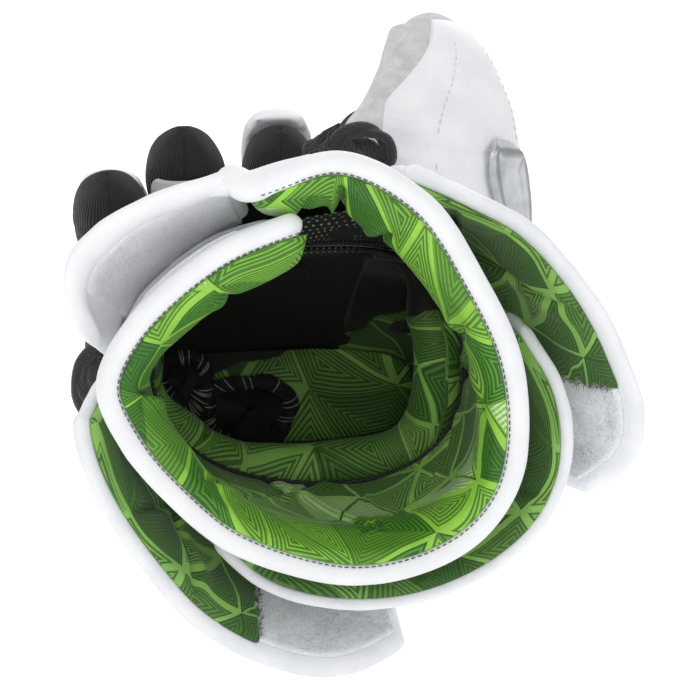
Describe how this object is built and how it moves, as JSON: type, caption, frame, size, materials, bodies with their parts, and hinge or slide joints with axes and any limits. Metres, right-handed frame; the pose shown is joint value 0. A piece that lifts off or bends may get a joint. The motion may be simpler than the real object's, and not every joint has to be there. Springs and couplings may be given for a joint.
{
  "type": "padded stick-sport glove",
  "caption": "Right-hand padded stick-sport glove, palm up with curled fingers: white foam pads, green lined wrist collar and flared three-panel cuff.",
  "frame": {"origin": "bottom centre of the part's bounding box at rest", "axes": "+Y from the wrist opening to the fingers, +Z out of the palm (the glove lies on its back), +X to the thumb side"},
  "size_m": [0.1766, 0.2286, 0.19],
  "materials": {
    "white_foam": "matt synthetic leather over foam",
    "green_lining": "printed knit, satin",
    "black_knit": "ribbed stretch knit",
    "grey_suede": "suede",
    "loop_pile": "brushed hook-and-loop pile",
    "black_cord": "braided",
    "silver_guard": "translucent moulding",
    "plate": "polythene sheet"
  },
  "bodies": {
    "hand": {"hand_lining": "green_lining", "finger_entry": "black_knit", "palm_mesh": "black_knit", "palm_leather": "grey_suede", "edge_pad": "white_foam", "back_carrier": "white_foam", "back_plate": "plate", "back_pad_wrist": "white_foam", "back_pad_little_side": "white_foam", "back_pad_thumb_side": "white_foam", "knuckle_pad_little_side": "white_foam", "knuckle_pad_thumb_side": "white_foam", "lace_thumb_side": "black_cord", "lace_little_side": "black_cord"},
    "collar": {"collar_band": "white_foam", "collar_lining": "green_lining", "underlap_hook_patch": "loop_pile", "collar_elastic": "black_knit"},
    "closure": {"closure_tab": "white_foam", "closure_loop_patch": "loop_pile"},
    "back_panel": {"cuff_back": "white_foam", "cuff_back_lining": "green_lining", "cuff_back_hook_thumb": "loop_pile", "cuff_back_hook_little": "loop_pile"},
    "thumb_wing": {"cuff_thumb_wing": "white_foam", "cuff_thumb_wing_lining": "green_lining", "cuff_thumb_wing_loop": "loop_pile"},
    "little_wing": {"cuff_little_wing": "white_foam", "cuff_little_wing_lining": "green_lining", "cuff_little_wing_loop": "loop_pile"},
    "little_proximal": {"little_proximal_stall": "black_knit", "little_proximal_pad": "white_foam"},
    "little_middle": {"little_middle_stall": "black_knit", "little_middle_pad": "white_foam"},
    "little_tip": {"little_tip_stall": "black_knit", "little_tip_pad": "white_foam"},
    "ring_proximal": {"ring_proximal_stall": "black_knit", "ring_proximal_pad": "white_foam"},
    "ring_middle": {"ring_middle_stall": "black_knit", "ring_middle_pad": "white_foam"},
    "ring_tip": {"ring_tip_stall": "black_knit", "ring_tip_pad": "white_foam"},
    "middle_proximal": {"middle_proximal_stall": "black_knit", "middle_proximal_pad": "white_foam"},
    "middle_middle": {"middle_middle_stall": "black_knit", "middle_middle_pad": "white_foam"},
    "middle_tip": {"middle_tip_stall": "black_knit", "middle_tip_pad": "white_foam"},
    "index_proximal": {"index_proximal_stall": "black_knit", "index_proximal_pad": "white_foam"},
    "index_middle": {"index_middle_stall": "black_knit", "index_middle_pad": "white_foam"},
    "index_tip": {"index_tip_stall": "black_knit", "index_tip_pad": "white_foam"},
    "thumb_base": {"thumb_base_stall": "black_knit", "thumb_base_pad": "white_foam", "thumb_guard": "silver_guard"},
    "thumb_tip": {"thumb_tip_stall": "black_knit", "thumb_tip_pad": "white_foam", "thumb_grip": "grey_suede"}
  },
  "joints": [
    {"name": "wrist_flex", "type": "hinge", "parent": "hand", "child": "collar", "pos_m": [-0.017, -0.05432, 0.08616], "axis": [1, 0, 0], "range_deg": [-10, 10]},
    {"name": "closure_open", "type": "hinge", "parent": "collar", "child": "closure", "pos_m": [-0.036, -0.08932, 0.16266], "axis": [0, 1, 0], "range_deg": [0, 100]},
    {"name": "back_panel_flare", "type": "hinge", "parent": "collar", "child": "back_panel", "pos_m": [0.003, -0.05532, 0.04216], "axis": [1, 0, 0], "range_deg": [0, 9]},
    {"name": "thumb_wing_open", "type": "hinge", "parent": "collar", "child": "thumb_wing", "pos_m": [0.051, -0.05532, 0.11216], "axis": [-0.3829, 0, 0.9238], "range_deg": [0, 35]},
    {"name": "little_wing_open", "type": "hinge", "parent": "collar", "child": "little_wing", "pos_m": [-0.052, -0.05532, 0.05016], "axis": [0.7413, 0, -0.6712], "range_deg": [0, 30]},
    {"name": "little_knuckle_bend", "type": "hinge", "parent": "hand", "child": "little_proximal", "pos_m": [-0.0655, 0.03668, 0.06016], "axis": [0.9962, 0, 0.0872], "range_deg": [-30, 40]},
    {"name": "little_middle_bend", "type": "hinge", "parent": "little_proximal", "child": "little_middle", "pos_m": [-0.06729, 0.06499, 0.08065], "axis": [0.9962, 0, 0.0872], "range_deg": [-40, 25]},
    {"name": "little_tip_bend", "type": "hinge", "parent": "little_middle", "child": "little_tip", "pos_m": [-0.06911, 0.06719, 0.10146], "axis": [0.9962, 0, 0.0872], "range_deg": [-24, 15]},
    {"name": "ring_knuckle_bend", "type": "hinge", "parent": "hand", "child": "ring_proximal", "pos_m": [-0.035, 0.03868, 0.06016], "axis": [0.9986, 0, 0.0523], "range_deg": [-30, 40]},
    {"name": "ring_middle_bend", "type": "hinge", "parent": "ring_proximal", "child": "ring_middle", "pos_m": [-0.03629, 0.07265, 0.08481], "axis": [0.9986, 0, 0.0523], "range_deg": [-40, 25]},
    {"name": "ring_tip_bend", "type": "hinge", "parent": "ring_middle", "child": "ring_tip", "pos_m": [-0.03764, 0.07537, 0.11064], "axis": [0.9986, 0, 0.0523], "range_deg": [-24, 15]},
    {"name": "middle_knuckle_bend", "type": "hinge", "parent": "hand", "child": "middle_proximal", "pos_m": [-0.0045, 0.03968, 0.06016], "axis": [0.9998, 0, 0.0174], "range_deg": [-30, 30]},
    {"name": "middle_middle_bend", "type": "hinge", "parent": "middle_proximal", "child": "middle_middle", "pos_m": [-0.00494, 0.07446, 0.08543], "axis": [0.9998, 0, 0.0174], "range_deg": [-40, 25]},
    {"name": "middle_tip_bend", "type": "hinge", "parent": "middle_middle", "child": "middle_tip", "pos_m": [-0.00541, 0.07729, 0.11228], "axis": [0.9998, 0, 0.0174], "range_deg": [-24, 15]},
    {"name": "index_knuckle_bend", "type": "hinge", "parent": "hand", "child": "index_proximal", "pos_m": [0.026, 0.03768, 0.06016], "axis": [0.9998, 0, -0.0174], "range_deg": [-30, 25]},
    {"name": "index_middle_bend", "type": "hinge", "parent": "index_proximal", "child": "index_middle", "pos_m": [0.02643, 0.07165, 0.08484], "axis": [0.9998, 0, -0.0174], "range_deg": [-40, 20]},
    {"name": "index_tip_bend", "type": "hinge", "parent": "index_middle", "child": "index_tip", "pos_m": [0.0269, 0.07448, 0.11169], "axis": [0.9998, 0, -0.0174], "range_deg": [-24, 12]},
    {"name": "thumb_open", "type": "hinge", "parent": "hand", "child": "thumb_base", "pos_m": [0.039, 0.00368, 0.10116], "axis": [0.816, 0.5537, -0.1658], "range_deg": [-8, 12]},
    {"name": "thumb_tip_open", "type": "hinge", "parent": "thumb_base", "child": "thumb_tip", "pos_m": [0.03512, 0.02131, 0.14093], "axis": [0.816, 0.5537, -0.1658], "range_deg": [-15, 8]}
  ],
  "couplings": [
    {"joint": "little_tip_bend", "follows": "little_middle_bend", "ratio": 0.6},
    {"joint": "ring_tip_bend", "follows": "ring_middle_bend", "ratio": 0.6},
    {"joint": "middle_tip_bend", "follows": "middle_middle_bend", "ratio": 0.6},
    {"joint": "index_tip_bend", "follows": "index_middle_bend", "ratio": 0.6}
  ]
}
